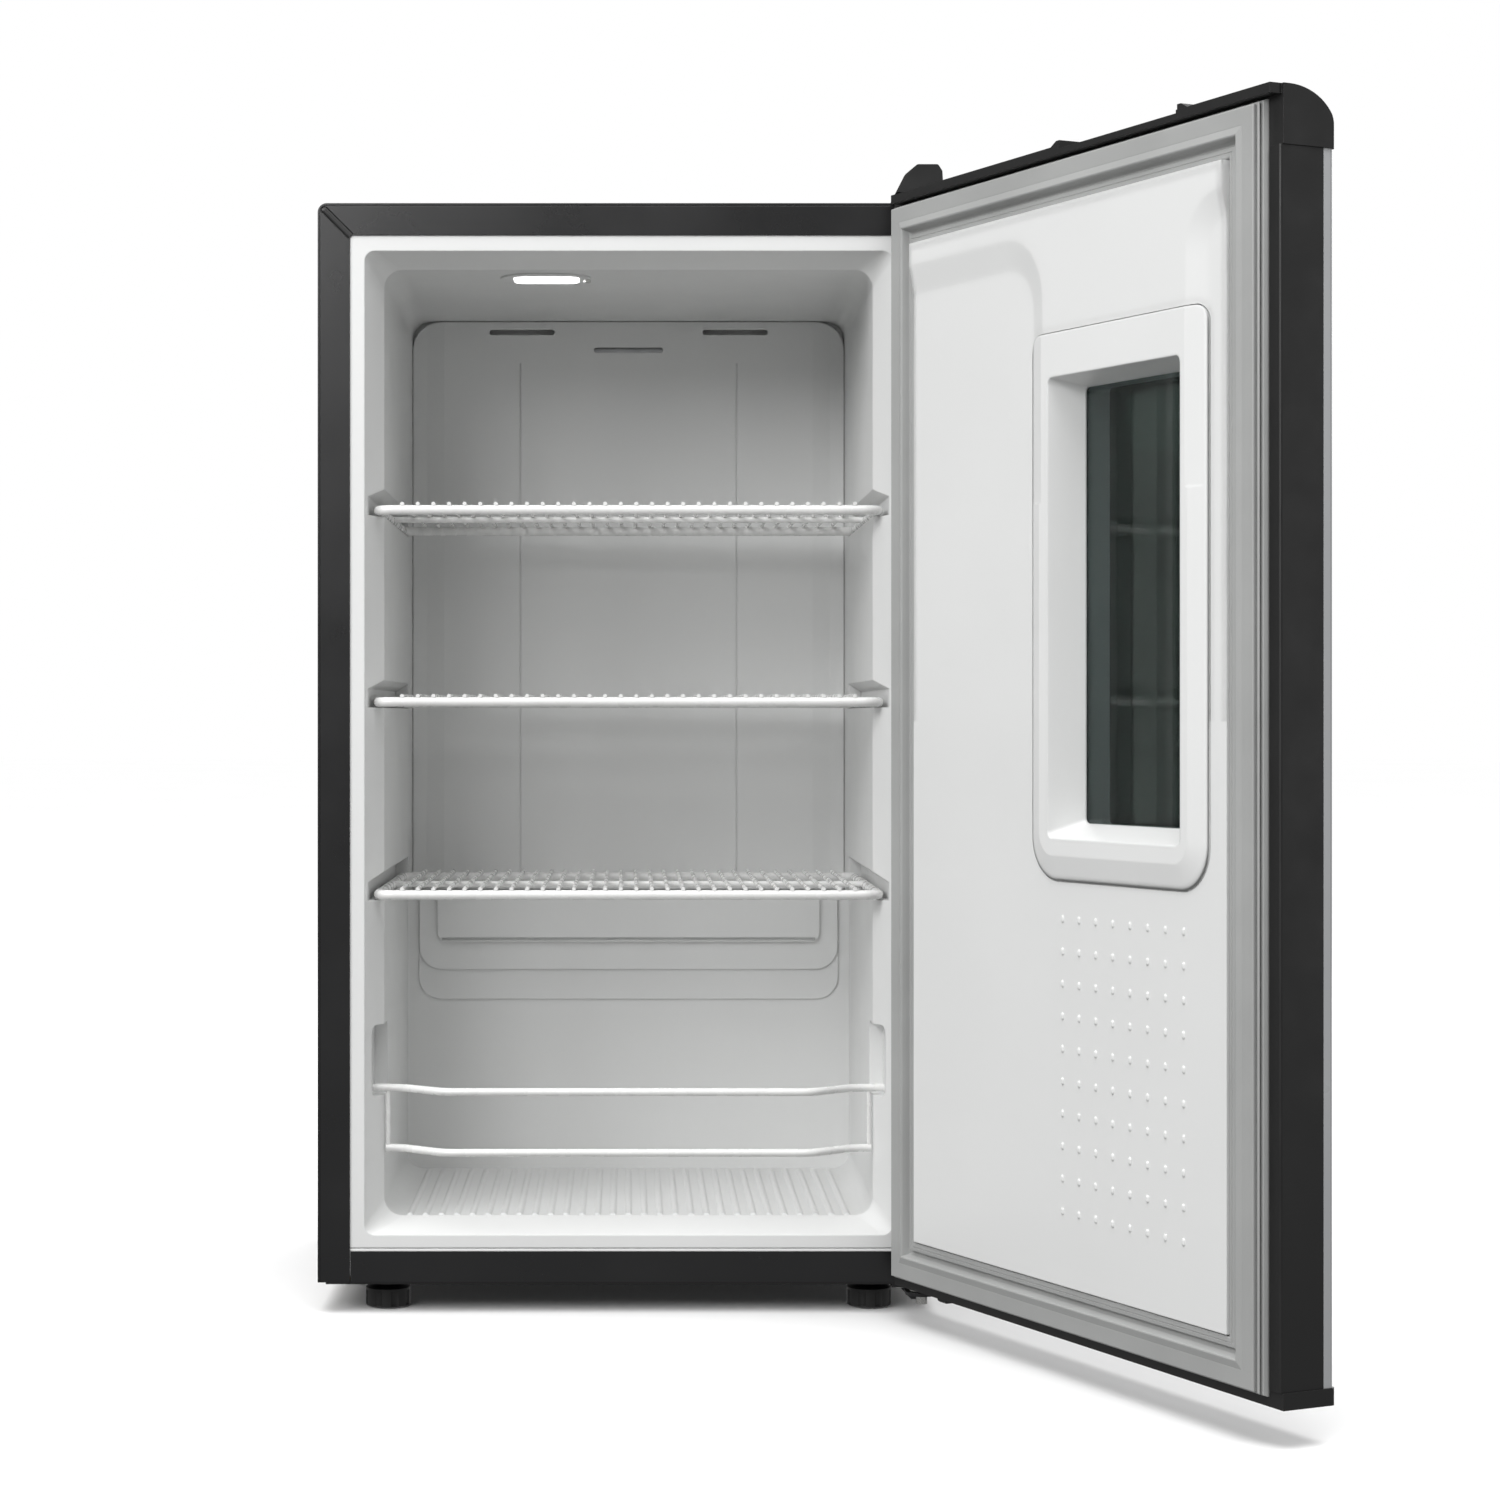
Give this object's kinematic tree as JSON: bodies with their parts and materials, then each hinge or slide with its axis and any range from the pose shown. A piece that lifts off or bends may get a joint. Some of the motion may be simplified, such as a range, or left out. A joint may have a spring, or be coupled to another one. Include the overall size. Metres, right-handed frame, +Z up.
{
  "type": "mini fridge",
  "caption": "Free-standing mini fridge with a black cabinet, wire shelves, a bottle guard and a hinged door with a glazed window.",
  "frame": {"origin": "on the floor below the middle of the cabinet's footprint", "axes": "+X to the right seen from the front, +Y from the front of the cabinet to its back, +Z up"},
  "size_m": [0.6747, 0.8644, 0.8653],
  "materials": {
    "black_steel": "semi-gloss",
    "grey_steel": "satin",
    "silver_steel": "satin",
    "white_plastic": "satin",
    "black_plastic": "matte",
    "grey_plastic": "matte",
    "bearing_plastic": "matte",
    "foam": "matte",
    "lamp_lens": "gloss",
    "board": "satin",
    "aluminium": "satin",
    "steel": "satin",
    "copper": "satin",
    "rubber": "matte",
    "gasket": "matte",
    "magnet": "matte",
    "white_wire": "gloss",
    "glass": "gloss"
  },
  "bodies": {
    "cabinet": {"wrapper": "black_steel", "corner_caps": "black_plastic", "front_rail": "black_steel", "base_plate": "black_steel", "compressor_tray": "black_steel", "rear_panel": "grey_steel", "compartment_panel": "grey_steel", "inner_liner": "white_plastic", "cabinet_insulation": "foam", "evaporator_cover": "white_plastic", "hump_cover": "white_plastic", "evaporator_plate": "aluminium", "lamp_housing": "white_plastic", "lamp_lens": "lamp_lens", "led_board": "board", "lamp_screw": "steel", "foot_nuts": "steel", "rear_feet": "black_plastic", "top_hinge_bracket": "black_steel", "top_hinge_pin": "steel", "hinge_cover": "black_plastic", "bottom_hinge_bracket": "black_steel", "bottom_hinge_pin": "steel", "pan_head_screws": "steel", "compressor": "black_steel", "compressor_grommets": "rubber", "compressor_bolts": "steel", "relay_cover": "black_plastic", "condenser": "black_steel", "condenser_brackets": "black_plastic", "suction_line": "copper", "discharge_line": "copper", "filter_drier": "copper", "capillary_tube": "copper", "drain_tube": "grey_plastic", "drip_tray": "grey_plastic", "thermostat": "grey_plastic", "power_inlet": "black_plastic"},
    "shelf_top": {"shelf_top": "white_wire"},
    "shelf_middle": {"shelf_middle": "white_wire"},
    "shelf_bottom": {"shelf_bottom": "white_wire"},
    "bottle_guard": {"bottle_guard": "white_wire"},
    "front_foot_left": {"front_foot_left": "black_plastic"},
    "front_foot_right": {"front_foot_right": "black_plastic"},
    "thermostat_knob": {"thermostat_knob": "black_plastic"},
    "door": {"door_skin": "silver_steel", "door_side_trims": "black_plastic", "door_top_cap": "black_plastic", "door_bottom_cap": "black_plastic", "hinge_bushes": "bearing_plastic", "door_liner": "white_plastic", "door_insulation": "foam", "door_gasket": "gasket", "gasket_magnet": "magnet", "window_frame": "white_plastic", "inner_glass": "glass", "glass_spacer": "aluminium", "outer_glass": "glass", "window_bezel": "black_plastic"}
  },
  "joints": [
    {"name": "door_hinge", "type": "hinge", "parent": "cabinet", "child": "door", "pos_m": [0.22, -0.224, 0], "axis": [0, 0, 1], "range_deg": [-115.4, 14.6]},
    {"name": "shelf_top_slide", "type": "slide", "parent": "cabinet", "child": "shelf_top", "axis": [0, -1, 0], "range_m": [0, 0.24]},
    {"name": "shelf_middle_slide", "type": "slide", "parent": "cabinet", "child": "shelf_middle", "axis": [0, -1, 0], "range_m": [0, 0.24]},
    {"name": "shelf_bottom_slide", "type": "slide", "parent": "cabinet", "child": "shelf_bottom", "axis": [0, -1, 0], "range_m": [0, 0.24]},
    {"name": "bottle_guard_lift", "type": "slide", "parent": "cabinet", "child": "bottle_guard", "axis": [0, 0, 1], "range_m": [0, 0.044]},
    {"name": "front_foot_left_thread", "type": "slide", "parent": "cabinet", "child": "front_foot_left", "axis": [0, 0, -1], "range_m": [0, 0.008]},
    {"name": "front_foot_right_thread", "type": "slide", "parent": "cabinet", "child": "front_foot_right", "axis": [0, 0, -1], "range_m": [0, 0.008]},
    {"name": "thermostat_dial", "type": "hinge", "parent": "cabinet", "child": "thermostat_knob", "pos_m": [0.194, 0.181, 0.144], "axis": [0, 1, 0], "range_deg": [-135, 135]}
  ]
}
